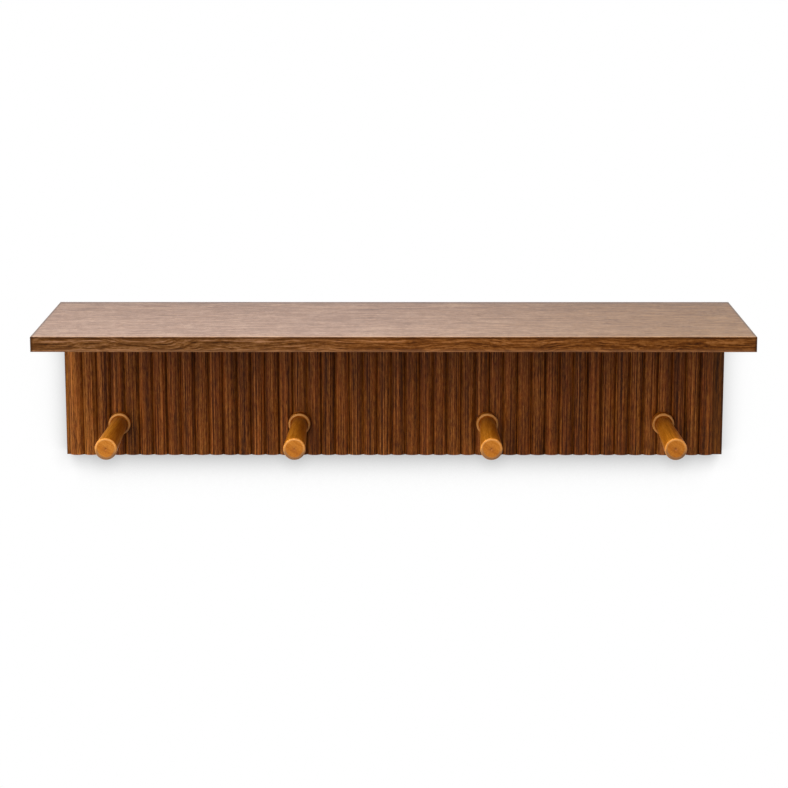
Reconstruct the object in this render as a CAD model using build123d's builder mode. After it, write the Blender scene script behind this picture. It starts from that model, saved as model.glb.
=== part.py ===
from build123d import *
import os

# Peg rail with a shelf: a board of vertical reeds that carries four turned pegs, under a plain shelf.
#
# Millimetres. +X runs along the rail, +Z is up and the front faces -Y. The wall is the plane Y = 0, and the
# origin lies on it, midway between the centres of the two keyholes that the rail hangs on.

# ---------------------------------------------------------------- driving dimensions

# Reeded rail
reed_count = 46
reed_width = 12.6
reed_height = 4.0  # from the backing board to the crown
reed_side = 0.6  # the square edge under the rounded crown
left_land = 3.1  # bare backing board beside the first reed
right_land = 8.8  # bare backing board beside the last reed
rail_height = 124.3
backing_thickness = 14.0
backing_arris = 0.5

# Shelf
shelf_overhang = 4.25  # past each end of the rail
shelf_depth = 180.0
shelf_thickness = 12.7
shelf_arris = 0.4

# Dowels between the shelf and the rail
dowel_count = 5
dowel_end_margin = 35.0  # from the rail's end to the outer dowel's axis
dowel_diameter = 6.0
dowel_length = 24.0
dowel_cover = 4.0  # wood left in the shelf above each dowel
dowel_chamfer = 0.8

# Pegs, each turned in one piece
peg_end_reeds = 3  # whole reeds between the rail's end and the reed that carries an outer peg
peg_drifts = (2.2, -0.3, 4.5, -1.7)  # how far each peg was drilled from the middle of its reed
peg_rise = 30.3  # from the rail's bottom edge to the pegs' axes
peg_reach = 110.0  # from the crowns of the reeds to the tip
peg_tip_diameter = 19.4
peg_tip_round = 1.6
peg_neck_diameter = 13.7
collar_diameter = 19.7
collar_thickness = 9.5
bead_radius = 1.7  # of the bead that ends the collar
bead_drop = 0.6  # from the bead's crest back to the crease where it meets the shaft
spigot_diameter = 10.0
spigot_length = 10.0
centre_mark_diameter = 2.6  # left in the tip by the lathe's centre
centre_mark_depth = 0.7

# Screws that draw the pegs home from behind
peg_screw_diameter = 4.0
peg_screw_head_diameter = 8.0
peg_screw_length = 40.0

# Keyhole plates, let in flush with the back
keyhole_drop = 45.0  # from the rail's top edge to the centre of the entry hole
keyhole_end_margin = 95.75  # from the rail's end to the keyhole's centre
keyhole_entry_diameter = 9.0
keyhole_slot_width = 4.6
keyhole_slot_rise = 9.0
plate_width = 18.0
plate_thickness = 2.0
plate_screw_offset = 5.0  # from the end of the head pocket to a plate screw's axis
plate_end_margin = 6.0  # from a plate screw's axis to the end of the plate
head_pocket_room = 1.0  # round the entry hole, for the wall screw's head
head_pocket_depth = 6.0  # behind the plate
plate_screw_diameter = 3.0
plate_screw_head_diameter = 5.8
plate_screw_length = 11.0

# Details that all screws share
screw_point_share = 0.6  # the point's length, in shank diameters
cross_length_share = 0.58  # the cross recess, in head diameters
cross_width_share = 0.14
cross_depth_share = 0.2

# Clearances
bore_clearance = 0.05  # round a dowel, spigot or screw in its hole
hole_end_gap = 0.5  # past the end of a spigot or a screw in its hole
plate_clearance = 0.2  # round a keyhole plate in its recess

# ---------------------------------------------------------------- derived sizes and places

rail_width = left_land + reed_count * reed_width + right_land
shelf_length = rail_width + 2 * shelf_overhang

rail_left_x = -rail_width / 2
rail_top_z = keyhole_drop
rail_bottom_z = rail_top_z - rail_height
rail_centre_z = (rail_top_z + rail_bottom_z) / 2

backing_front_y = -backing_thickness
crown_y = backing_front_y - reed_height

first_reed_x = rail_left_x + left_land + reed_width / 2
reed_places = [first_reed_x + reed_width * number for number in range(reed_count)]

reeds_between_pegs = (reed_count - 1 - 2 * peg_end_reeds) / (len(peg_drifts) - 1)
peg_reeds = [peg_end_reeds + round(reeds_between_pegs * i) for i in range(len(peg_drifts))]
peg_places = [reed_places[reed] + drift for reed, drift in zip(peg_reeds, peg_drifts)]
peg_z = rail_bottom_z + peg_rise

spigot_radius = spigot_diameter / 2
spigot_bore_radius = spigot_radius + bore_clearance
spigot_end_y = crown_y + spigot_length
spigot_bore_end_y = spigot_end_y + hole_end_gap

peg_screw_bore_radius = peg_screw_diameter / 2 + bore_clearance
peg_pilot_depth = peg_screw_length + spigot_end_y + hole_end_gap

dowel_depth_in_shelf = shelf_thickness - dowel_cover
dowel_depth_in_rail = dowel_length - dowel_depth_in_shelf
dowel_bore_radius = dowel_diameter / 2 + bore_clearance
dowel_y = -backing_thickness / 2
dowel_pitch = (rail_width - 2 * dowel_end_margin) / (dowel_count - 1)

keyhole_x = rail_width / 2 - keyhole_end_margin
keyhole_entry_radius = keyhole_entry_diameter / 2
head_pocket_radius = keyhole_entry_radius + head_pocket_room
slot_middle_z = keyhole_slot_rise / 2
plate_screw_spacing = keyhole_slot_rise + 2 * (head_pocket_radius + plate_screw_offset)
plate_length = plate_screw_spacing + 2 * plate_end_margin
recess_length = plate_length + 2 * plate_clearance
recess_width = plate_width + 2 * plate_clearance
plate_screw_bore_radius = plate_screw_diameter / 2 + bore_clearance

back_plane = Plane.XZ  # the wall plane, which extrudes towards the front
screw_angle = 90.0  # of every countersunk head


def facing_wall(x, z, y=0.0):
    """A plane at that place that faces the wall, so that holes drilled from it run to the front."""
    return Plane(origin=(x, y, z), x_dir=(-1, 0, 0), z_dir=(0, 1, 0))


peg_screw_planes = [facing_wall(x, peg_z) for x in peg_places]
plate_screw_planes = [
    facing_wall(side * keyhole_x, slot_middle_z + end * plate_screw_spacing / 2)
    for side in (-1, 1)
    for end in (-1, 1)
]


def pegs_crossing(centre_x):
    """The pegs whose spigots cut into the reed at that place."""
    reach = reed_width / 2 + spigot_bore_radius
    return [x for x in peg_places if abs(x - centre_x) < reach]


def finish(piece, name):
    """Names a finished piece and writes it."""
    piece.part.label = name
    export_step(piece.part, f"parts/{name}.step")


# ---------------------------------------------------------------- shelf and its dowels


def make_shelf_board():
    """A plain board with softened arrises, drilled from below for the dowels."""
    with BuildPart() as shelf_board:
        with BuildSketch(Plane.XY.offset(rail_top_z)):
            with Locations((0, -shelf_depth / 2)):
                Rectangle(shelf_length, shelf_depth)
        extrude(amount=shelf_thickness)
        fillet(shelf_board.edges(), shelf_arris)
        with BuildSketch(Plane.XY.offset(rail_top_z)):
            with Locations((0, dowel_y)):
                with GridLocations(dowel_pitch, 0, dowel_count, 1):
                    Circle(dowel_bore_radius)
        extrude(amount=dowel_depth_in_shelf, mode=Mode.SUBTRACT)
    return shelf_board


def make_shelf_dowels():
    """Dowels with chamfered ends, standing in the rail's top edge and the shelf's underside."""
    with BuildPart() as shelf_dowels:
        with BuildSketch(Plane.XY.offset(rail_top_z - dowel_depth_in_rail)):
            with Locations((0, dowel_y)):
                with GridLocations(dowel_pitch, 0, dowel_count, 1):
                    Circle(dowel_diameter / 2)
        extrude(amount=dowel_length)
        chamfer(shelf_dowels.edges().filter_by(GeomType.CIRCLE), dowel_chamfer)
    return shelf_dowels


# ---------------------------------------------------------------- rail


def make_backing_board():
    """The board behind the reeds, with the bores for pegs and dowels and the keyhole plates' recesses."""
    with BuildPart() as backing_board:
        with BuildSketch(back_plane):
            with Locations((0, rail_centre_z)):
                Rectangle(rail_width, rail_height)
        extrude(amount=backing_thickness)
        fillet(backing_board.edges().filter_by(Axis.Z), backing_arris)

        # bores for the spigots, from the front
        with BuildSketch(Plane.XZ.offset(-spigot_bore_end_y)):
            with Locations(*[(x, peg_z) for x in peg_places]):
                Circle(spigot_bore_radius)
        extrude(until=Until.LAST, mode=Mode.SUBTRACT)

        # bores for the dowels, from the top
        with BuildSketch(Plane.XY.offset(rail_top_z)):
            with Locations((0, dowel_y)):
                with GridLocations(dowel_pitch, 0, dowel_count, 1):
                    Circle(dowel_bore_radius)
        extrude(amount=-dowel_depth_in_rail, mode=Mode.SUBTRACT)

        # countersunk holes for the screws, from the back
        with Locations(*peg_screw_planes):
            CounterSinkHole(
                radius=peg_screw_bore_radius,
                counter_sink_radius=peg_screw_head_diameter / 2,
                depth=backing_thickness,
                counter_sink_angle=screw_angle,
            )

        # recess for each keyhole plate, then the deeper pocket for the wall screw's head
        with BuildSketch(back_plane):
            with Locations((-keyhole_x, slot_middle_z), (keyhole_x, slot_middle_z)):
                SlotOverall(recess_length, recess_width, rotation=90)
        extrude(amount=plate_thickness, mode=Mode.SUBTRACT)
        with BuildSketch(Plane.XZ.offset(plate_thickness)):
            with Locations((-keyhole_x, slot_middle_z), (keyhole_x, slot_middle_z)):
                SlotCenterToCenter(keyhole_slot_rise, 2 * head_pocket_radius, rotation=90)
        extrude(amount=head_pocket_depth, mode=Mode.SUBTRACT)

        # pilot holes for the plate screws
        with Locations(*plate_screw_planes):
            Hole(radius=plate_screw_bore_radius, depth=plate_screw_length + hole_end_gap)
    return backing_board


def make_reed(centre_x):
    """A flat-backed slat with a rounded face, bored where a peg's spigot passes through it."""
    left = centre_x - reed_width / 2
    right = centre_x + reed_width / 2
    shoulder_y = backing_front_y - reed_side
    with BuildPart() as reed:
        with BuildSketch(Plane.XY.offset(rail_bottom_z)):
            with BuildLine():
                Line((left, shoulder_y), (left, backing_front_y))
                Line((left, backing_front_y), (right, backing_front_y))
                Line((right, backing_front_y), (right, shoulder_y))
                ThreePointArc((right, shoulder_y), (centre_x, crown_y), (left, shoulder_y))
            make_face()
        extrude(amount=rail_height)
        for peg_x in pegs_crossing(centre_x):
            with BuildSketch(Plane.XZ.offset(backing_thickness)):
                with Locations((peg_x, peg_z)):
                    Circle(spigot_bore_radius)
            extrude(amount=reed_height, mode=Mode.SUBTRACT)
    return reed


# ---------------------------------------------------------------- pegs


def make_peg(centre_x):
    """A spigot, a beaded collar that seats on the reeds' crowns and a shaft that swells towards its tip."""
    turning_plane = Plane(origin=(centre_x, crown_y, peg_z), x_dir=(0, -1, 0), z_dir=(-1, 0, 0))
    bead_start = (collar_thickness - bead_radius, collar_diameter / 2)
    crease = (collar_thickness - bead_drop, peg_neck_diameter / 2)
    with BuildPart() as peg:
        with BuildSketch(turning_plane):
            with BuildLine():
                Polyline(
                    crease,
                    (peg_reach, peg_tip_diameter / 2),
                    (peg_reach, centre_mark_diameter / 2),
                    (peg_reach - centre_mark_depth, 0),
                    (-spigot_length, 0),
                    (-spigot_length, spigot_radius),
                    (0, spigot_radius),
                    (0, collar_diameter / 2),
                    bead_start,
                )
                RadiusArc(bead_start, crease, bead_radius)
            make_face()
        revolve(axis=Axis(turning_plane.origin, turning_plane.x_dir))
        tip_rims = peg.edges().filter_by(GeomType.CIRCLE).group_by(Axis.Y)[0]
        fillet(tip_rims.sort_by(SortBy.RADIUS)[-1], peg_tip_round)
        with Locations(facing_wall(centre_x, peg_z, spigot_end_y)):
            Hole(radius=peg_screw_bore_radius, depth=peg_pilot_depth)
    return peg


# ---------------------------------------------------------------- screws


def make_screw(diameter, head_diameter, length):
    """A countersunk screw with a cross recess, its head's face on the plane Z = 0 and its point below."""
    head_radius = head_diameter / 2
    radius = diameter / 2
    point = diameter * screw_point_share
    with BuildPart() as screw:
        with BuildSketch(Plane.XZ):
            with BuildLine():
                Polyline(
                    (0, 0),
                    (head_radius, 0),
                    (radius, radius - head_radius),
                    (radius, point - length),
                    (0, -length),
                    close=True,
                )
            make_face()
        revolve(axis=Axis.Z)
        with BuildSketch():
            Rectangle(head_diameter * cross_length_share, head_diameter * cross_width_share)
            Rectangle(head_diameter * cross_width_share, head_diameter * cross_length_share)
        extrude(amount=-head_diameter * cross_depth_share, mode=Mode.SUBTRACT)
    return screw


def make_screws(planes, diameter, head_diameter, length):
    """One such screw driven in at each of the planes."""
    screw = make_screw(diameter, head_diameter, length)
    with BuildPart() as screws:
        with Locations(*planes):
            add(screw.part)
    return screws


# ---------------------------------------------------------------- keyhole plates


def make_keyhole_plate(centre_x):
    """A steel plate with round ends: an entry hole for a wall screw, and a slot above it for the shank."""
    with BuildPart() as keyhole_plate:
        with BuildSketch(back_plane):
            with Locations((centre_x, slot_middle_z)):
                SlotOverall(plate_length, plate_width, rotation=90)
            with Locations((centre_x, 0)):
                Circle(keyhole_entry_radius, mode=Mode.SUBTRACT)
            with Locations((centre_x, slot_middle_z)):
                SlotCenterToCenter(keyhole_slot_rise, keyhole_slot_width, rotation=90, mode=Mode.SUBTRACT)
        extrude(amount=plate_thickness)
        with Locations(*[plane for plane in plate_screw_planes if plane.origin.X * centre_x > 0]):
            CounterSinkHole(
                radius=plate_screw_bore_radius,
                counter_sink_radius=plate_screw_head_diameter / 2,
                depth=plate_thickness,
                counter_sink_angle=screw_angle,
            )
    return keyhole_plate


# ---------------------------------------------------------------- making and writing the pieces

os.makedirs("parts", exist_ok=True)

finish(make_shelf_board(), "shelf_board")
finish(make_shelf_dowels(), "shelf_dowels")
finish(make_backing_board(), "backing_board")

for number, place in enumerate(reed_places, start=1):
    finish(make_reed(place), f"reed_{number:02d}")

for number, place in enumerate(peg_places, start=1):
    finish(make_peg(place), f"peg_{number}")

finish(
    make_screws(peg_screw_planes, peg_screw_diameter, peg_screw_head_diameter, peg_screw_length),
    "peg_screws",
)
finish(make_keyhole_plate(-keyhole_x), "keyhole_plate_left")
finish(make_keyhole_plate(keyhole_x), "keyhole_plate_right")
finish(
    make_screws(plate_screw_planes, plate_screw_diameter, plate_screw_head_diameter, plate_screw_length),
    "keyhole_plate_screws",
)
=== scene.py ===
# %% [markdown]
# # A reeded peg rail with a shelf
#
# This rail hangs flat on a wall. A board carries forty-six rounded slats, called reeds, side by side. Four turned
# pegs stand out from the reeds, and a plain board lies on top as a shelf. The slats, the shelf and the board behind
# are oiled walnut, and the pegs are a lighter wood with a honey-coloured lacquer.
#
# The solids already have their true shapes, down to the softened edges and the mark that the lathe's centre left in
# each peg. So nothing is modelled over them. The lesson is about wood: one set of ideas about how timber grows,
# used for every piece of it.

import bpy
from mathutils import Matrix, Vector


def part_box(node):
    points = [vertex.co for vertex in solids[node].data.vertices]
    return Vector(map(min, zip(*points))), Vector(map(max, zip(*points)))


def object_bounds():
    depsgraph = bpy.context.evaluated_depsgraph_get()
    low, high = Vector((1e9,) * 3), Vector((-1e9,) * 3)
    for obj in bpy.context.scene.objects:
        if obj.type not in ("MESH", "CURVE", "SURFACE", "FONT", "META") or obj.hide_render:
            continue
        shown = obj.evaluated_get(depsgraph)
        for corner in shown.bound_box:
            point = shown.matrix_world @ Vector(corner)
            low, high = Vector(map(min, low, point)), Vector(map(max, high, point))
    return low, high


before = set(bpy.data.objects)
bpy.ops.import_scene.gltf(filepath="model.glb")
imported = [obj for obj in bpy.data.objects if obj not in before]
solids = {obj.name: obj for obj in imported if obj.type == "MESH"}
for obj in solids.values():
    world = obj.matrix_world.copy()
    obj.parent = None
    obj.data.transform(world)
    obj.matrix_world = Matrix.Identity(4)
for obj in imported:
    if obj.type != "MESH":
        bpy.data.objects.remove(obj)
solid_low, solid_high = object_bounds()
print(f"{len(solids)} solids, from {tuple(solid_low)} to {tuple(solid_high)}")

# %% [markdown]
# ## The camera
#
# The eye stands a little over two metres in front of the rail and forty centimetres above the keyholes, and looks
# slightly down, so that the top of the shelf shows as a thin slope. A long lens keeps the pegs from spreading.
# The camera could be aimed with a Track To constraint, but three plain turns say the same thing, and each of them
# is a number that can be read: how far it looks down, how far to the left, and how far the horizon leans.

# %% Camera
import math

import bpy
from mathutils import Matrix, Vector

picture_side = 788
focal_length_in_pixels = 2392.6
sensor_side_mm = 36.0
eye = Vector((0.0085, -2.1228, 0.4029))
looks_down = math.radians(11.44)
looks_left = math.radians(0.237)
leans = math.radians(-0.029)

camera = bpy.data.objects.new("camera", bpy.data.cameras.new("camera"))
bpy.context.scene.collection.objects.link(camera)
camera.data.sensor_width = sensor_side_mm
camera.data.lens = focal_length_in_pixels * sensor_side_mm / picture_side
turn = Matrix.Rotation(looks_left, 4, "Z")
tilt = Matrix.Rotation(math.pi / 2 - looks_down, 4, "X")
lean = Matrix.Rotation(leans, 4, "Z")
camera.matrix_world = Matrix.Translation(eye) @ turn @ tilt @ lean
bpy.context.scene.camera = camera
bpy.context.scene.view_settings.view_transform = "Standard"
print(f"lens {camera.data.lens:.1f} mm")

# %% [markdown]
# ## A short way to write materials
#
# A node material is a web of small steps, and most of its text is bookkeeping: add a node, set it, link it. This
# class keeps that in one place. Most of its methods add a step and hand back the socket that holds the result, so a
# finish further down reads like a formula. A value that is a socket is linked, and any other value is set.

# %% Finish
class Finish:
    """A material that is built one step at a time."""

    mix_a, mix_b, mix_result = 6, 7, 2  # the colour sockets of a Mix node

    def __init__(self, name):
        self.material = bpy.data.materials.new(name)
        self.material.use_nodes = True
        self.tree = self.material.node_tree
        self.surface = self.tree.nodes["Principled BSDF"]
        self.output = self.tree.nodes["Material Output"]

    def node(self, kind, inputs=None, **settings):
        """A node of that kind, with values or links for its inputs."""
        made = self.tree.nodes.new("ShaderNode" + kind)
        for setting, value in settings.items():
            setattr(made, setting, value)
        for socket, value in (inputs or {}).items():
            self.feed(made.inputs[socket], value)
        return made

    def feed(self, socket, value):
        """Links an input to a socket, or sets it to a value."""
        if isinstance(value, bpy.types.NodeSocket):
            self.tree.links.new(value, socket)
        else:
            socket.default_value = value

    def calc(self, operation, *values):
        """One step of arithmetic."""
        return self.node("Math", dict(enumerate(values)), operation=operation).outputs[0]

    def blend(self, *shares):
        """The sum of values, each times its share."""
        total = 0.0
        for value, share in shares:
            total = self.node("Math", {0: value, 1: share, 2: total}, operation="MULTIPLY_ADD").outputs[0]
        return total

    def stretch(self, value, low, high, new_low=0.0, new_high=1.0):
        """The value's range from low to high, spread smoothly over a new range."""
        inputs = dict(enumerate((value, low, high, new_low, new_high)))
        return self.node("MapRange", inputs, interpolation_type="SMOOTHSTEP").outputs[0]

    def between(self, share, start, end):
        """A value that runs smoothly from start to end as the share runs from 0 to 1."""
        return self.stretch(share, 0.0, 1.0, start, end)

    def split(self, vector):
        """The three parts of a vector."""
        return self.node("SeparateXYZ", {0: vector}).outputs

    def join(self, x, y, z):
        """A vector from its three parts."""
        return self.node("CombineXYZ", {0: x, 1: y, 2: z}).outputs[0]

    def noise(self, vector, size, detail=2.0, roughness=0.5):
        """Noise whose grains have that size along each axis."""
        scale = [1 / s for s in size]
        sized = self.node("VectorMath", {0: vector, 1: scale}, operation="MULTIPLY").outputs[0]
        inputs = {"Vector": sized, "Scale": 1.0, "Detail": detail, "Roughness": roughness}
        return self.node("TexNoise", inputs).outputs[0]

    def mix(self, share, first, second, blend="MIX"):
        """Two colours in one."""
        inputs = {0: share, self.mix_a: first, self.mix_b: second}
        made = self.node("Mix", inputs, data_type="RGBA", blend_type=blend)
        return made.outputs[self.mix_result]

    def ramp(self, value, *stops):
        """A colour for each value, through stops of (place, colour)."""
        made = self.node("ValToRGB", {0: value})
        elements = made.color_ramp.elements
        while len(elements) < len(stops):
            elements.new(0.5)
        for element, (place, colour) in zip(elements, stops):
            element.position = place
            element.color = colour
        return made.outputs[0]

    def bump(self, height, strength, distance):
        """A normal that leans as if the surface stood that high."""
        inputs = {"Height": height, "Strength": strength, "Distance": distance}
        return self.node("Bump", inputs).outputs[0]

    def paint(self, **sockets):
        """Sets or links the inputs of the surface shader."""
        for name, value in sockets.items():
            self.feed(self.surface.inputs[name.replace("_", " ")], value)
        return self.material


def report(material):
    """Prints how many steps a material took."""
    print(f"{material.name}: {len(material.node_tree.nodes)} nodes")


print("a finish is built step by step")


# %% Colours
def colour(red, green, blue):
    """A colour from the 0 to 255 values of a screen, as the linear values that a shader takes."""
    linear = []
    for value in (red / 255, green / 255, blue / 255):
        linear.append(value / 12.92 if value <= 0.04045 else ((value + 0.055) / 1.055) ** 2.4)
    return (*linear, 1.0)


white = (1.0, 1.0, 1.0, 1.0)
print(f"128 of 255 on a screen is {colour(128, 128, 128)[0]:.2f} of the light")

# %% [markdown]
# ## How timber is drawn
#
# A board is a slice through a tree, and its pattern is the same in the whole slice: rings round the heart, which
# wander a little along the trunk, fine fibres along it, and pores, which are short dark dashes where a vessel was
# cut open. So the pattern is worked out in three dimensions, and each face of a board cuts it in its own way, as a
# saw does. Faces that lie along the rings get wavy flames, faces across them get straight lines, and the ends get
# arcs. An image could never meet itself so well round a corner.
#
# Where a branch or a swelling stood near, the whole grain bends. `bend` moves the place a little before anything is
# drawn on it, and every line then follows.
#
# Every wood here uses these steps. What differs is the direction of the grain, how far away the heart lies and how
# wide the rings are. All lengths are in metres, as they are in Object coordinates.


# %% Where the grain runs
def grain_place(finish, along, seed=(0.0, 0.0, 0.0)):
    """Object coordinates, in the order along the grain, across it, and across it again."""
    place = finish.node("TexCoord").outputs["Object"]
    moved = finish.node("VectorMath", {0: place, 1: seed}, operation="ADD").outputs[0]
    parts = finish.split(moved)
    order = {"X": "XYZ", "Y": "YXZ", "Z": "ZXY"}[along]
    return finish.join(*(parts[axis] for axis in order))


def bend(finish, place, side, up, length):
    """The place, moved across the grain by up to about a quarter of those amounts, as the grain bends."""
    turn = finish.calc("SUBTRACT", finish.noise(place, (length, length / 3, length / 3), detail=1.0), 0.5)
    moved = finish.node("VectorMath", {0: (0.0, side, up), "Scale": turn}, operation="SCALE").outputs[0]
    return finish.node("VectorMath", {0: place, 1: moved}, operation="ADD").outputs[0]


print("the grain can run along X, Y or Z, and can bend")


# %% Rings
def rings(finish, place, heart, ring_width, wander, wander_length):
    """How light each ring is, from 0 to 1, round a heart that lies across the grain at those two places."""
    drift = finish.noise(place, (wander_length, wander_length / 4, wander_length / 4), detail=3.0)
    drift = finish.calc("MULTIPLY", finish.calc("SUBTRACT", drift, 0.5), wander)
    _, side, up = finish.split(place)
    side = finish.calc("SUBTRACT", side, heart[0])
    up = finish.calc("SUBTRACT", up, heart[1])
    square = finish.calc("ADD", finish.calc("MULTIPLY", side, side), finish.calc("MULTIPLY", up, up))
    radius = finish.calc("ADD", finish.calc("SQRT", square), drift)
    count = finish.calc("DIVIDE", radius, ring_width)
    inputs = {"W": count, "Scale": 1.0, "Detail": 4.0, "Roughness": 0.75}
    made = finish.node("TexNoise", inputs, noise_dimensions="1D")
    return finish.stretch(made.outputs[0], 0.3, 0.7)


print("timber has rings round a heart")

# %% Streaks, fibres and pores
pore_edge = 0.72  # the noise at which a pore begins, were pores at their rarest
pore_middle = 0.8  # the noise at which it is fully open


def streaks(finish, place, size, half_range, detail=3.0, roughness=0.7):
    """Streaks of that size along each axis, from 0 to 1. A smaller half range gives them more contrast."""
    grain = finish.noise(place, size, detail, roughness)
    return finish.stretch(grain, 0.5 - half_range, 0.5 + half_range)


def fibres(finish, place, length, width):
    """Fine streaks along the grain, from 0 to 1."""
    return streaks(finish, place, (length, width, width), half_range=0.14, detail=4.0, roughness=0.75)


def pores(finish, place, length, width, share):
    """1 in an open pore and 0 between pores. A larger share gives more of them."""
    spots = finish.noise(place, (length, width, width), detail=1.0)
    return finish.stretch(spots, pore_edge - share, pore_middle - share)


print("timber has streaks, fibres and pores along it")


# %% Shade and relief
def shade_where(finish, wood, mask, share, shade):
    """The wood, with that share of another colour where the mask is 1."""
    return finish.mix(finish.calc("MULTIPLY", mask, share), wood, shade)


def relief(finish, fibre, pore, fibre_height=0.4):
    """How high the surface stands. Fibres are ridges, and pores are pits one unit deep."""
    return finish.calc("SUBTRACT", finish.calc("MULTIPLY", fibre, fibre_height), pore)


print("pores are dark and lie deep, and fibres stand up")

# %% [markdown]
# ## The reeds
#
# Each reed was cut from its own strip of walnut, and strips from one board differ: some are redder, some darker.
# Forty-six materials would do it. One material is enough, though, if it can tell the reeds apart: the count of
# reed widths from the first reed's left edge, rounded down, tells which reed it is, and White Noise turns that number
# into luck. The luck shifts the pattern, so that no reed shows its neighbour's grain, and tints it.
#
# The grain runs upright. The heart lies far off, so the rings are straight lines on every reed. The first few reeds,
# at the rail's left end, are lighter. The oil soaked in unevenly, in patches, and the reeds are darker at their foot
# between the third and the fourth peg. Towards each joint the wood is painted darker, as painted shade in the groove
# between two reeds.

# %% Sizes and colours of the reeds
reed_low, reed_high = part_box("reed_01")
reed_width = reed_high.x - reed_low.x
first_reed_edge = reed_low.x
skin = 0.0002  # a face that two reeds share belongs to the reed that it bounds
left_end_reach = 0.06  # from the shelf's left end, how far the reeds are lighter
left_end_tone = 0.15
groove_shade_start = 0.43  # in reed widths from a reed's middle, where the painted shade of the groove begins
groove_shade_share = 0.7
dark_foot_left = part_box("peg_3")[1].x  # between the third and the fourth peg, the reeds are darker at their foot
dark_foot_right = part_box("peg_4")[0].x
dark_foot_height = 0.045
dark_foot_fade = 0.02
dark_foot_tone = -0.075

walnut_dark = colour(41, 16, 1)
walnut_deep = colour(86, 44, 7)
walnut_warm = colour(122, 68, 16)
walnut_light = colour(180, 114, 46)
walnut_red = colour(142, 58, 14)
walnut_ior = 1.17  # oiled, not varnished, so it mirrors little
print(f"a reed is {reed_width * 1000:.1f} mm wide")


# %% Walnut for the reeds
def make_reed_walnut():
    finish = Finish("oiled walnut, reeds")
    coordinates = finish.node("TexCoord")
    x, _, z = finish.split(coordinates.outputs["Object"])
    facing = finish.split(coordinates.outputs["Normal"])[0]
    inside = finish.calc("SUBTRACT", x, finish.calc("MULTIPLY", facing, skin))
    count = finish.calc("DIVIDE", finish.calc("SUBTRACT", inside, first_reed_edge), reed_width)
    from_middle = finish.calc("ABSOLUTE", finish.calc("SUBTRACT", finish.calc("FRACT", count), 0.5))
    luck = finish.node("TexWhiteNoise", {"W": finish.calc("FLOOR", count)}, noise_dimensions="1D")
    place = grain_place(finish, "Z", luck.outputs["Color"])

    ring = rings(finish, place, heart=(1.9, 0.8), ring_width=0.004, wander=0.002, wander_length=0.15)
    fibre = fibres(finish, place, length=0.14, width=0.0011)
    fleck = fibres(finish, place, length=0.006, width=0.0012)
    streak = fibres(finish, place, length=0.16, width=0.0026)
    patch = fibres(finish, place, length=0.025, width=0.007)
    pore = pores(finish, place, length=0.01, width=0.0006, share=0.14)

    luck_red, luck_tone, _ = finish.split(luck.outputs["Color"])
    paler_left_end = finish.stretch(x, solid_low.x, solid_low.x + left_end_reach, left_end_tone, 0.0)
    past_left = finish.stretch(x, dark_foot_left, dark_foot_left + dark_foot_fade)
    past_right = finish.stretch(x, dark_foot_right - dark_foot_fade, dark_foot_right)
    low_down = finish.stretch(z, reed_low.z, reed_low.z + dark_foot_height, 1.0, 0.0)
    dark_foot = finish.calc("MULTIPLY", finish.calc("SUBTRACT", past_left, past_right), low_down)
    grain = finish.blend((ring, 0.18), (fibre, 0.43), (streak, 0.12), (fleck, 0.2), (patch, 0.07))
    tone = finish.blend((grain, 1.0), (luck_tone, 0.08), (paler_left_end, 1.0), (dark_foot, dark_foot_tone))

    wood = finish.ramp(tone, (0.21, walnut_dark), (0.405, walnut_deep), (0.59, walnut_warm), (0.86, walnut_light))
    redness = finish.blend((luck_red, 0.15), (streak, 0.2), (patch, 0.3))
    wood = finish.mix(redness, wood, finish.mix(fibre, walnut_dark, walnut_red))
    wood = shade_where(finish, wood, pore, share=0.6, shade=walnut_dark)
    # painted shade: the wood darkens towards each joint, in the groove between two reeds
    joint_shade = finish.stretch(from_middle, groove_shade_start, 0.5, 0.0, groove_shade_share)
    wood = finish.mix(joint_shade, wood, walnut_dark)

    finish.surface.inputs["IOR"].default_value = walnut_ior
    return finish.paint(
        Base_Color=wood,
        Roughness=finish.between(fibre, 0.55, 0.42),
        Normal=finish.bump(relief(finish, fibre, pore), strength=0.4, distance=0.0002),
    )


reed_walnut = make_reed_walnut()
report(reed_walnut)

# %% [markdown]
# ## The board behind the reeds
#
# The board is walnut too, with its grain upright as well. It was cut nearer the heart, so its rings are wider and
# curve more. It shows only as a narrow land past the last reed at each end, and from behind. It could share the
# reeds' finish, but that one carries painted shade at every joint between reeds, and this board has no joints.

# %% Walnut for the backing board
board_low, board_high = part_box("backing_board")
board_seed = (0.31, 0.12, 0.07)  # so that its grain isn't that of a reed


def make_board_walnut():
    finish = Finish("walnut, backing board")
    place = grain_place(finish, "Z", board_seed)
    ring = rings(finish, place, heart=(0.35, 0.28), ring_width=0.007, wander=0.012, wander_length=0.3)
    fibre = fibres(finish, place, length=0.08, width=0.0012)
    fleck = fibres(finish, place, length=0.008, width=0.0014)
    pore = pores(finish, place, length=0.008, width=0.0005, share=0.12)
    tone = finish.blend((ring, 0.25), (fibre, 0.45), (fleck, 0.2))
    wood = finish.ramp(tone, (0.1, walnut_dark), (0.38, walnut_deep), (0.62, walnut_warm), (1.0, walnut_light))
    wood = shade_where(finish, wood, pore, share=0.5, shade=walnut_dark)
    finish.surface.inputs["IOR"].default_value = walnut_ior
    return finish.paint(
        Base_Color=wood,
        Roughness=0.55,
        Normal=finish.bump(relief(finish, fibre, pore), strength=0.4, distance=0.0002),
    )


board_walnut = make_board_walnut()
report(board_walnut)
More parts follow.
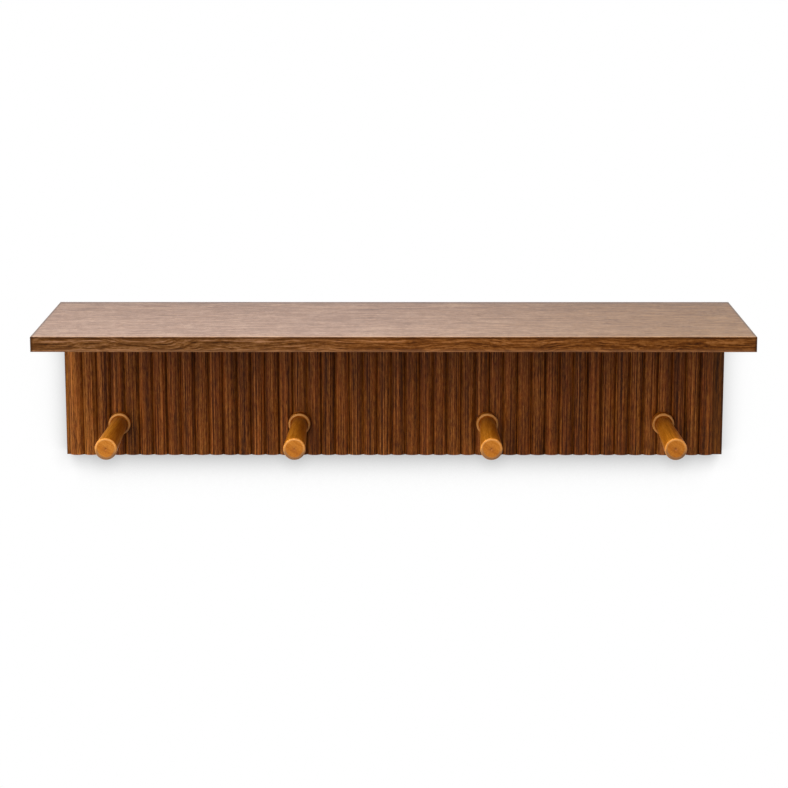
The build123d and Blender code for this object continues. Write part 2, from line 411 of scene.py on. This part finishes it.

# %% [markdown]
# ## The shelf
#
# The shelf is one board with its grain along the rail. It was sawn so that the rings cross its section at a slant:
# both the top and the front edge are cut across them, and show lines that waver along the board. That needs no
# second material, only a heart that lies below the shelf and to one side. The grain bends gently as well, so the
# lines of the front edge rise and fall.
#
# The top is painted paler and pinker than the edges: it is the wood with a painted sheen on it. The face's own normal
# tells them apart. A thin dark line runs along the arrises, and the foot of each edge carries a pale painted
# highlight. The front of the top carries a warm, pale painted highlight, the top turns browner towards its back, and
# the board's colour drifts from its left end to its right.

# %% Sizes and colours of the shelf
shelf_low, shelf_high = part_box("shelf_board")
shelf_heart = (shelf_high.y + 0.02, shelf_low.z - 0.17)

# the top's colours are the wood with a painted sheen on it
top_sheen_dark = colour(132, 103, 90)
top_sheen_middle = colour(166, 133, 114)
top_sheen_light = colour(195, 162, 140)
right_tint = (0.80, 0.70, 0.48, 1.0)
right_tint_start = shelf_low.x * 0.3
back_tint = (0.84, 0.80, 0.76, 1.0)
back_reach = 0.015  # in front of the back edge, where the top turns browner
back_share = 0.6
front_highlight_tint = (1.28, 1.17, 0.93, 1.0)  # a warm, pale painted highlight along the front of the top
front_highlight_reach = 0.009
rim_brown = colour(96, 82, 74)

edge_dark = colour(44, 20, 2)
edge_deep = colour(87, 49, 15)
edge_warm = colour(111, 70, 32)
edge_light = colour(151, 106, 73)
edge_left_tint = (0.91, 0.94, 1.0, 1.0)
edge_middle_tint = (1.0, 0.86, 0.6, 1.0)
edge_right_tint = (0.87, 0.72, 0.43, 1.0)
arris_reach = 0.0026  # from the top's arrises, where a thin dark line runs
end_arris_share = 0.65
top_arris_share = 0.5
foot_highlight_reach = 0.0035  # above the lower arris, where the edge carries a pale painted highlight
foot_highlight_share = 0.3
edge_facing = 0.45  # up to here a face looks forward enough to be an edge
top_facing = 0.8  # from here on it looks up enough to be the top
shelf_ior = 1.12
print(f"the shelf is {(shelf_high.z - shelf_low.z) * 1000:.1f} mm thick")


# %% The shelf's top
def colour_top(finish, tone, place, at_end):
    """The top's colour, a painted sheen on the wood, which differs along the board and across it."""
    along, depth, _ = finish.split(place)
    top = finish.ramp(tone, (0.16, top_sheen_dark), (0.5, top_sheen_middle), (0.84, top_sheen_light))
    rightward = finish.stretch(along, right_tint_start, shelf_high.x)
    backward = finish.stretch(depth, shelf_low.y, shelf_high.y)
    top = finish.mix(rightward, top, right_tint, blend="MULTIPLY")
    top = finish.mix(backward, top, back_tint, blend="MULTIPLY")
    at_back = finish.stretch(depth, shelf_high.y - back_reach, shelf_high.y, 0.0, back_share)
    top = finish.mix(finish.calc("MAXIMUM", at_end, at_back), top, rim_brown)
    # painted highlight along the front of the top
    at_front = finish.stretch(depth, shelf_low.y, shelf_low.y + front_highlight_reach, 1.0, 0.0)
    return finish.mix(at_front, top, front_highlight_tint, blend="MULTIPLY")


# the paler front is a painted highlight
print("the top is browner at its back and ends, and paler along its front")


# %% The shelf's edges
def colour_edge(finish, tone, place, at_end):
    """The edges' colour: drifting along the board, a painted highlight at the foot, dark along the arrises."""
    along, _, height = finish.split(place)
    edge = finish.ramp(tone, (0.13, edge_dark), (0.405, edge_deep), (0.595, edge_warm), (0.94, edge_light))
    share_along = finish.stretch(along, shelf_low.x, shelf_high.x)
    drift = finish.ramp(share_along, (0.2, edge_left_tint), (0.5, edge_middle_tint), (0.9, edge_right_tint))
    edge = finish.mix(1.0, edge, drift, blend="MULTIPLY")
    # painted highlight along the foot of each edge
    foot_highlight = finish.stretch(height, shelf_low.z, shelf_low.z + foot_highlight_reach, foot_highlight_share, 0.0)
    edge = finish.mix(foot_highlight, edge, edge_light)
    near_top, at_arris = shelf_high.z - arris_reach, shelf_high.z - arris_reach / 2
    at_top = finish.stretch(height, near_top, at_arris, 0.0, top_arris_share)
    return finish.mix(finish.calc("MAXIMUM", at_end, at_top), edge, edge_dark)


# the paler foot is a painted highlight
print("the edges are paler at their foot and dark along the arrises")


# %% Walnut for the shelf
def make_shelf_walnut():
    finish = Finish("oiled walnut, shelf")
    place = grain_place(finish, "X")
    bent = bend(finish, place, side=0.012, up=0.02, length=0.07)
    ring = rings(finish, bent, shelf_heart, ring_width=0.0026, wander=0.003, wander_length=0.1)
    fibre = streaks(finish, bent, (0.04, 0.0011, 0.0011), half_range=0.14)
    broad = streaks(finish, bent, (0.07, 0.009, 0.009), half_range=0.2, roughness=0.5)
    streak = streaks(finish, bent, (0.02, 0.0055, 0.004), half_range=0.15, roughness=0.65)
    fleck = streaks(finish, bent, (0.0045, 0.005, 0.0015), half_range=0.15)
    pore = pores(finish, bent, length=0.006, width=0.0005, share=0.12)

    from_end = finish.calc("SUBTRACT", shelf_high.x, finish.calc("ABSOLUTE", finish.split(place)[0]))
    at_end = finish.stretch(from_end, arris_reach * 0.4, arris_reach, end_arris_share, 0.0)
    top_tone = finish.blend((ring, 0.22), (fibre, 0.2), (broad, 0.17), (streak, 0.22), (fleck, 0.19))
    edge_tone = finish.blend((ring, 0.3), (fibre, 0.42), (broad, 0.12), (fleck, 0.16))
    top = colour_top(finish, top_tone, place, at_end)
    edge = colour_edge(finish, edge_tone, place, at_end)
    upward = finish.split(finish.node("TexCoord").outputs["Normal"])[2]
    wood = finish.mix(finish.stretch(upward, edge_facing, top_facing), edge, top)
    wood = shade_where(finish, wood, pore, share=0.35, shade=edge_dark)

    finish.surface.inputs["IOR"].default_value = shelf_ior
    return finish.paint(
        Base_Color=wood,
        Roughness=finish.between(fibre, 0.38, 0.3),
        Normal=finish.bump(relief(finish, fibre, pore), strength=0.3, distance=0.0002),
    )


shelf_walnut = make_shelf_walnut()
report(shelf_walnut)

# %% [markdown]
# ## The pegs
#
# Each peg was turned from its own straight-grained stick, with the grain along it, and lacquered the colour of
# honey. The heart lies two or three centimetres off, so the tip shows gentle arcs and the shaft shows long lines. The
# sticks differ a little: the first is the lightest and the last is the darkest. End grain drinks more lacquer, so
# the wood of the tips is darker, although they face the light and look bright. The stain spread round the mark that
# the lathe's centre left.
#
# Painted shade darkens each peg near the collar, down the right flank and under the tip's rim, and painted highlights
# lighten the bead and the upper half of the rim.
#
# One finish for all four would be shorter, but it would measure from one axis only. So each peg gets its own copy,
# made by the same steps from the peg's own place.

# %% Colours of the pegs' wood
honey_dark = colour(174, 96, 12)
honey_middle = colour(204, 122, 24)
honey_light = colour(224, 150, 50)
# the colour of the painted highlights on the pegs
honey_highlight = colour(236, 172, 98)
honey_tone = 0.075  # added to the grain's tone on every peg
stick_tones = {"peg_1": 0.06, "peg_4": -0.05}  # how much lighter that peg's stick is than the others
stick_heart = (0.014, 0.022)  # from the peg's axis, to the right and up
honey_ior = 1.2
print(f"{len(stick_tones)} of the sticks are lighter or darker than the rest")

# %% Sizes of a peg, and where it has painted shade and highlights
tip_radius = 0.0097  # the first five are how the pegs were turned
tip_round = 0.0016
collar_length = 0.0095
bead_radius = 0.0017
mark_radius = 0.0013
mark_core_radius = 0.0004  # from the axis, up to where the mark is stained most
stain_reach = 0.0045  # from the axis, as far as the stain round the centre's mark spreads
stain_share = 0.36
mark_share = 0.3  # of stain in the mark itself, on top of what is round it
stain_brown = colour(112, 60, 26)
end_grain = (0.66, 0.64, 0.84, 1.0)
end_facing = (0.8, 0.97)  # how far forward a face looks, from where the end grain shows
# the colour of the painted shade on a peg's shaft
peg_shade_tint = (0.32, 0.12, 0.06, 1.0)
collar_shade_reach = 0.035  # along the shaft from the bead, where painted shade darkens it
collar_shade_share = 0.5
flank_shade_span = (-0.001, 0.0075)  # to the right of the axis, where painted shade darkens the flank
flank_shade_share = 0.45
upper_rim_span = (-0.005, 0.003)  # above the axis, where the rim's lower half turns into its upper half
# painted shade under the lower half of the tip's rim: its share and its colour
lower_rim_shade_share = 0.75
painted_rim_shade = colour(120, 92, 66)
# shares of painted highlight on the upper rim and on the bead
rim_highlight_share = 0.4
bead_highlight_span = (0.003, 0.009)  # above the axis, where the bead's painted highlight grows
bead_highlight_shares = (0.33, 0.6)
print(f"a peg's tip is {tip_radius * 2000:.1f} mm across")


# %% Where a point of a peg lies
class PegPlace:
    """Where a point lies on one peg, as sockets, and the peg's own places."""

    def __init__(self, finish, name):
        low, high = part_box(name)
        self.axis = axis = (low + high) / 2
        self.collar_radius = high.z - axis.z
        self.bead_crest = reed_low.y - collar_length
        self.place = place = grain_place(finish, "Y")
        self.depth = finish.split(place)[0]
        from_axis = finish.node("VectorMath", {0: place, 1: (0.0, axis.x, axis.z)}, operation="SUBTRACT").outputs[0]
        across = finish.node("VectorMath", {0: from_axis, 1: (0.0, 1.0, 1.0)}, operation="MULTIPLY").outputs[0]
        self.reach = finish.node("VectorMath", {0: across}, operation="LENGTH").outputs["Value"]
        _, self.rightward, self.upward = finish.split(across)
        forward = finish.calc("MULTIPLY", finish.split(finish.node("TexCoord").outputs["Normal"])[1], -1.0)
        self.end = finish.stretch(forward, *end_facing)
        self.at_tip = finish.stretch(self.depth, low.y + tip_round * 0.2, low.y + tip_round * 0.6, 1.0, 0.0)
        self.above = finish.stretch(self.upward, *upper_rim_span)


print("a place on a peg is its depth, its reach from the axis, and how far right and up it lies")


# %% End grain
def stain_end(finish, wood, peg):
    """The wood with the end grain of the tip, and the stain round the mark in its middle."""
    wood = finish.mix(peg.end, wood, end_grain, blend="MULTIPLY")
    around_mark = finish.stretch(peg.reach, 0.0, stain_reach, stain_share, 0.0)
    in_mark = finish.stretch(peg.reach, mark_core_radius, mark_radius, mark_share, 0.0)
    return finish.mix(finish.calc("ADD", around_mark, in_mark), wood, stain_brown)


print(f"the stain reaches {stain_reach * 1000:.1f} mm from the axis")


# %% Painted shade on a peg
def paint_peg_shade(finish, wood, peg):
    """The wood with painted shade: near the collar, down the right flank and under the rim of the tip."""
    # painted shade: darker near the collar
    collar_shade = finish.stretch(peg.depth, peg.bead_crest - collar_shade_reach, peg.bead_crest, 0.0, collar_shade_share)
    wood = finish.mix(collar_shade, wood, peg_shade_tint, blend="MULTIPLY")
    # painted shade down the right flank
    flank_shade = finish.stretch(peg.rightward, *flank_shade_span, 0.0, flank_shade_share)
    flank_shade = finish.calc("MULTIPLY", flank_shade, finish.calc("SUBTRACT", 1.0, peg.end))
    wood = finish.mix(flank_shade, wood, peg_shade_tint, blend="MULTIPLY")
    # painted shade under the lower half of the tip's rim
    rim_inside, rim_outside = tip_radius - tip_round * 2, tip_radius - tip_round * 1.2
    on_lower_rim = finish.stretch(peg.reach, rim_inside, rim_outside, 0.0, lower_rim_shade_share)
    lower_rim_shade = finish.calc("MULTIPLY", peg.at_tip, on_lower_rim)
    lower_rim_shade = finish.calc("MULTIPLY", lower_rim_shade, finish.calc("SUBTRACT", 1.0, peg.above))
    return finish.mix(lower_rim_shade, wood, painted_rim_shade)


# the darker stretch of the shaft is painted shade
print(f"the lacquer built up along {collar_shade_reach * 1000:.0f} mm of the shaft")


# %% Painted highlights on a peg
def paint_peg_highlights(finish, wood, peg):
    """The wood with painted highlights: on the upper half of the tip's rim and on the bead."""
    # painted highlight on the upper half of the tip's rim
    on_rim = finish.stretch(peg.reach, tip_radius - tip_round * 1.5, tip_radius - tip_round * 0.9)
    upper_rim = finish.calc("MULTIPLY", finish.calc("MULTIPLY", peg.at_tip, on_rim), peg.above)
    # painted highlight on the bead
    bead_away = finish.calc("ABSOLUTE", finish.calc("SUBTRACT", peg.depth, peg.bead_crest + bead_radius * 0.3))
    near_bead = finish.stretch(bead_away, bead_radius * 0.3, bead_radius * 0.8, 1.0, 0.0)
    bead_inside, bead_outside = peg.collar_radius - bead_radius * 1.3, peg.collar_radius - bead_radius * 0.7
    bead = finish.calc("MULTIPLY", near_bead, finish.stretch(peg.reach, bead_inside, bead_outside))
    bead_share = finish.stretch(peg.upward, *bead_highlight_span, *bead_highlight_shares)
    highlighted = finish.blend((upper_rim, rim_highlight_share), (bead, bead_share))
    return finish.mix(highlighted, wood, honey_highlight)


# the paler rim and bead are painted highlights
print("the lacquer is thin on the tip's upper rim and on the bead")


# %% Honey-coloured peg wood
def make_peg_wood(name):
    finish = Finish(f"honey lacquer, {name}")
    peg = PegPlace(finish, name)
    heart = (peg.axis.x + stick_heart[0], peg.axis.z + stick_heart[1])
    ring = rings(finish, peg.place, heart, ring_width=0.005, wander=0.003, wander_length=0.1)
    fibre = fibres(finish, peg.place, length=0.02, width=0.0008)
    pore = pores(finish, peg.place, length=0.004, width=0.0003, share=0.1)
    tone = finish.blend((ring, 0.45), (fibre, 0.4), (honey_tone + stick_tones.get(name, 0.0), 1.0))
    wood = finish.ramp(tone, (0.1, honey_dark), (0.5, honey_middle), (0.9, honey_light))
    wood = shade_where(finish, wood, pore, share=0.3, shade=honey_dark)
    for treat in (stain_end, paint_peg_shade, paint_peg_highlights):
        wood = treat(finish, wood, peg)

    height = relief(finish, fibre, pore, fibre_height=0.3)
    finish.surface.inputs["IOR"].default_value = honey_ior
    return finish.paint(
        Base_Color=wood,
        Roughness=finish.between(fibre, 0.44, 0.36),
        Normal=finish.bump(height, strength=0.25, distance=0.0001),
    )


peg_names = sorted(name for name in solids if name.startswith("peg_") and name != "peg_screws")
peg_woods = {name: make_peg_wood(name) for name in peg_names}
for peg_wood in peg_woods.values():
    report(peg_wood)

# %% [markdown]
# ## What is hidden: dowels, plates and screws
#
# The dowels are plain beech. The keyhole plates are rolled steel with fine lines along them, and the screws are
# zinc-plated, a little yellower and mottled. None of them shows while the rail hangs, and the dowels never do, so one
# kind of grain is enough for each.

# %% Beech and metals
beech_dark = colour(176, 138, 98)
beech_light = colour(214, 182, 142)
steel_dark = colour(138, 140, 143)
steel_light = colour(186, 188, 190)
zinc_dark = colour(150, 148, 138)
zinc_light = colour(198, 196, 186)


def make_dowel_beech():
    finish = Finish("beech, dowels")
    fibre = fibres(finish, grain_place(finish, "Z"), length=0.012, width=0.0006)
    return finish.paint(
        Base_Color=finish.ramp(fibre, (0.0, beech_dark), (1.0, beech_light)),
        Roughness=0.7,
        Normal=finish.bump(fibre, strength=0.3, distance=0.0001),
    )


def make_metal(name, dark, light, size):
    finish = Finish(name)
    grain = streaks(finish, grain_place(finish, "Z"), size, half_range=0.2, roughness=0.6)
    finish.surface.inputs["Metallic"].default_value = 1.0
    return finish.paint(
        Base_Color=finish.mix(grain, dark, light),
        Roughness=finish.between(grain, 0.45, 0.32),
        Normal=finish.bump(grain, strength=0.2, distance=0.00005),
    )


dowel_beech = make_dowel_beech()
plate_steel = make_metal("rolled steel, keyhole plates", steel_dark, steel_light, (0.02, 0.0002, 0.0002))
screw_zinc = make_metal("zinc plating, screws", zinc_dark, zinc_light, (0.001, 0.001, 0.001))
for made in (dowel_beech, plate_steel, screw_zinc):
    report(made)

# %% [markdown]
# ## Dressing the solids
#
# Each solid keeps its place and its mesh, and takes the finish of what it is. A table of names is shorter than a line
# for every solid, and whatever isn't in it is a reed.

# %% Give each solid its finish
finishes = {
    "shelf_board": shelf_walnut,
    "backing_board": board_walnut,
    "shelf_dowels": dowel_beech,
    "peg_screws": screw_zinc,
    "keyhole_plate_screws": screw_zinc,
    "keyhole_plate_left": plate_steel,
    "keyhole_plate_right": plate_steel,
    **peg_woods,
}

for name, solid in solids.items():
    for slot in solid.material_slots:
        slot.material = finishes.get(name, reed_walnut)
print(f"dressed {len(solids)} solids")

# %% [markdown]
# ## The wall and the floor
#
# The rail hangs on a white wall. The wall has to be pure white to the eye, but still hold the soft shadow round the
# rail. Turning up the lamps until it clips would burn the wood out, so the wall is seen by its own glow, and the
# glow fades where the rail stands close in front of it and keeps the light out. The tips of the pegs stand so far in
# front that they throw only faint round smudges. Each is drawn where a ray from high in front, past the tip, meets
# the wall. To gloss the wall is plain white. It gives the wood no light, because the pale half of the world behind
# it already does. From behind it can't be seen at all, so the back of the rail can be looked at where it hangs.

# %% The rail's shadow
shadow_reach = 0.05
shadow_tint = (0.0, 0.0, 0.0, 1.0)
open_share = 0.93  # of its surroundings, at which the wall is plain white
foot_spread = 0.75  # below the rail the shadow spreads wider, as if raised to this power
foot_spread_span = (solid_low.z - 0.01, solid_low.z + 0.015)
lit_span = (shelf_low.z - 0.03, shelf_low.z - 0.015)  # from here up, the wall is lit past the shelf's ends
left_share = 0.8  # how much of the rail's shadow is left beside its left end, where the lamps reach in
right_share = 0.7
left_end_span = (board_low.x - 0.004, board_low.x + 0.01)
right_end_span = (board_high.x - 0.01, board_high.x + 0.004)


def make_rail_shadow(finish, place):
    """How dark the rail's shadow is, from 0 to 1."""
    openness = finish.node("AmbientOcclusion", {"Distance": shadow_reach}, samples=16).outputs["AO"]
    along, _, height = finish.split(place)
    closed = finish.calc("SUBTRACT", 1.0, finish.calc("DIVIDE", openness, open_share))
    closed = finish.calc("MAXIMUM", closed, 0.0)
    spread = finish.stretch(height, *foot_spread_span, foot_spread, 1.0)
    closed = finish.calc("POWER", closed, spread)
    past_left = finish.stretch(along, *left_end_span, left_share, 1.0)
    past_right = finish.stretch(along, *right_end_span, 1.0, right_share)
    below_shelf = finish.stretch(height, *lit_span, 1.0, 0.0)
    for share in (below_shelf, past_left, past_right):
        closed = finish.calc("MULTIPLY", closed, share)
    return closed


print(f"the shadow reaches {shadow_reach * 1000:.0f} mm from the rail")

# %% The tips' shadows
wall_gap = 0.0006  # the wall stands this far behind the rail's back, so that the two don't touch
tip_light = Vector((0.0, -2.1, 0.5))  # where the light that throws the tips' shadows comes from
tip_shadow_reach = 0.02
tip_shadow_depth = 0.12


def find_tip_shadow(name):
    """Where on the wall a peg's tip throws its soft shadow."""
    low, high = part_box(name)
    tip = Vector(((low.x + high.x) / 2, low.y, (low.z + high.z) / 2))
    ray = tip - tip_light
    return tip + ray * (wall_gap - tip.y) / ray.y


def make_tip_shadows(finish, place):
    """How dark the tips' shadows are, from 0 to 1."""
    shadows = []
    for name in peg_names:
        middle = find_tip_shadow(name)
        away = finish.node("VectorMath", {0: place, 1: middle}, operation="DISTANCE").outputs["Value"]
        shadows.append((finish.stretch(away, 0.0, tip_shadow_reach, 1.0, 0.0), tip_shadow_depth))
    return finish.blend(*shadows)


for name in peg_names:
    across, _, up = find_tip_shadow(name) * 1000
    print(f"the shadow of the tip of {name} falls at {across:.0f} mm across and {up:.0f} mm up")


# %% White for the wall and the floor
def make_stage_white():
    finish = Finish("white wall")
    path = finish.node("LightPath").outputs
    place = finish.node("TexCoord").outputs["Object"]
    shade = finish.mix(make_rail_shadow(finish, place), white, shadow_tint)
    shade = finish.mix(make_tip_shadows(finish, place), shade, shadow_tint)
    seen = finish.node("Emission", {"Color": shade, "Strength": 1.0}).outputs[0]
    plain = finish.node("Emission", {"Color": white, "Strength": 1.0}).outputs[0]
    mirrored = finish.calc("MAXIMUM", path["Is Glossy Ray"], path["Is Transmission Ray"])
    front = finish.node("MixShader", {0: mirrored, 1: seen, 2: plain}).outputs[0]
    clear = finish.node("BsdfTransparent").outputs[0]
    behind = finish.node("NewGeometry").outputs["Backfacing"]
    both = finish.node("MixShader", {0: behind, 1: front, 2: clear}).outputs[0]
    finish.feed(finish.output.inputs["Surface"], both)
    return finish.material


stage_white = make_stage_white()
report(stage_white)

# %% Wall and floor
import bmesh

room_size = 9.0
floor_drop = 1.3


def make_plane(name, turn, middle):
    """A square sheet of the room, which gives the wood no light and casts no shadow."""
    sheet = bmesh.new()
    bmesh.ops.create_grid(sheet, x_segments=1, y_segments=1, size=room_size / 2)
    bmesh.ops.transform(sheet, matrix=Matrix.Translation(middle) @ turn, verts=sheet.verts)
    mesh = bpy.data.meshes.new(name)
    sheet.to_mesh(mesh)
    sheet.free()
    mesh.materials.append(stage_white)
    plane = bpy.data.objects.new(name, mesh)
    bpy.context.scene.collection.objects.link(plane)
    plane.visible_diffuse = False
    plane.visible_shadow = False
    normal = tuple(round(part) for part in mesh.polygons[0].normal)
    print(f"the {name} faces {normal}")


upright = Matrix.Rotation(math.pi / 2, 4, "X")
make_plane("wall", upright, Vector((0, wall_gap, room_size / 2 - floor_drop)))
make_plane("floor", Matrix.Identity(4), Vector((0, wall_gap - room_size / 2, -floor_drop)))

# %% [markdown]
# ## The light
#
# A large soft lamp stands in front, a little above and to the left, so that the shelf shades the top of the reeds and
# each peg shades what is to its right. A smaller one far to the left and near the wall gives each reed a bright left
# flank, and one high in front lights the top of the shelf and the upper sides of the pegs. The world does the rest:
# nearly white behind the wall, as the lit wall itself would be, and dimmer in front. Together they light a face that
# looks forward by about as much as its colour says.
#
# A lamp of power P at a distance d makes a white face that is turned to it as bright as P / (pi * d)**2. So a lamp
# can be asked for by the share of full light that it adds, and its power follows.

# %% World
front_strength = 0.33
wall_strength = 0.9
half_fade = 0.15  # the two halves of the world blend where a direction's Y is between minus and plus this


def make_world():
    world = bpy.data.worlds.new("studio")
    world.use_nodes = True
    tree = world.node_tree
    background = tree.nodes["Background"]
    direction = tree.nodes.new("ShaderNodeTexCoord")
    parts = tree.nodes.new("ShaderNodeSeparateXYZ")
    fade = tree.nodes.new("ShaderNodeMapRange")
    path = tree.nodes.new("ShaderNodeLightPath")
    seen = tree.nodes.new("ShaderNodeMix")
    share_white, strength, full_strength = seen.inputs[0], seen.inputs[2], seen.inputs[3]
    shows_white = None
    tree.links.new(direction.outputs["Generated"], parts.inputs[0])
    tree.links.new(parts.outputs["Y"], fade.inputs["Value"])
    fade.interpolation_type = "SMOOTHSTEP"
    fade.inputs["From Min"].default_value = -half_fade
    fade.inputs["From Max"].default_value = half_fade
    fade.inputs["To Min"].default_value = front_strength
    fade.inputs["To Max"].default_value = wall_strength
    for ray in ("Is Camera Ray", "Is Glossy Ray", "Is Transmission Ray"):
        either = tree.nodes.new("ShaderNodeMath")
        either.operation = "MAXIMUM"
        tree.links.new(path.outputs[ray], either.inputs[0])
        either.inputs[1].default_value = 0.0
        if shows_white:
            tree.links.new(shows_white, either.inputs[1])
        shows_white = either.outputs[0]
    tree.links.new(shows_white, share_white)
    tree.links.new(fade.outputs[0], strength)
    full_strength.default_value = 1.0
    tree.links.new(seen.outputs[0], background.inputs["Strength"])
    background.inputs["Color"].default_value = white
    bpy.context.scene.world = world


make_world()
print(f"the world's strength is {front_strength} in front and {wall_strength} behind the wall")

# %% Lamps
rail_middle = (board_low + board_high) / 2


def make_soft_lamp(name, place, size, share):
    """A soft lamp there, aimed at the rail, that adds that share of full light to a face turned to it."""
    place = Vector(place)
    away = place - rail_middle
    lamp = bpy.data.lights.new(name, "AREA")
    lamp.shape = "RECTANGLE"
    lamp.size, lamp.size_y = size
    lamp.energy = share * (math.pi * away.length) ** 2
    holder = bpy.data.objects.new(name, lamp)
    bpy.context.scene.collection.objects.link(holder)
    holder.matrix_world = Matrix.Translation(place) @ away.to_track_quat("Z", "Y").to_matrix().to_4x4()
    holder.visible_camera = False
    print(f"{name}: {lamp.energy:.1f} W")


make_soft_lamp("front lamp", (-0.6, -2.5, 0.8), size=(0.8, 1.2), share=0.48)
make_soft_lamp("left lamp", (-1.5, -0.8, 0.25), size=(0.9, 0.9), share=0.26)
make_soft_lamp("upper lamp", (-0.3, -1.3, 1.25), size=(1.0, 0.9), share=0.6)
